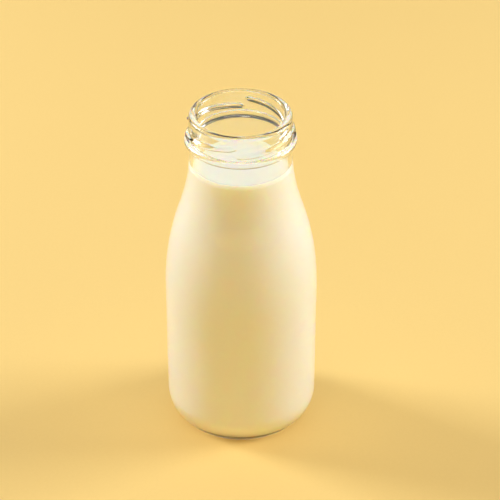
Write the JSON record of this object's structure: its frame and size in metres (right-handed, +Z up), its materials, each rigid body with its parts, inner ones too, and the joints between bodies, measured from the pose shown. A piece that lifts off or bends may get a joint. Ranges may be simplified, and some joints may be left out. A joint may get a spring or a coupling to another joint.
{
  "type": "filled glass milk bottle",
  "caption": "Small clear glass bottle with a lugged twist-off neck, uncapped and filled with milk to just below the neck bead.",
  "frame": {"origin": "middle of the base, on the surface the bottle stands on", "axes": "+Z up along the bottle's axis, from the base to the rim; the lugs drop clockwise seen from above, and one lug's head lies near +Y"},
  "size_m": [0.06, 0.06, 0.138],
  "materials": {
    "glass": "smooth blow-moulded clear soda-lime glass",
    "milk": "opaque creamy white liquid with a wet sheen"
  },
  "bodies": {
    "root": {"bottle": "glass", "milk": "milk"}
  },
  "joints": []
}
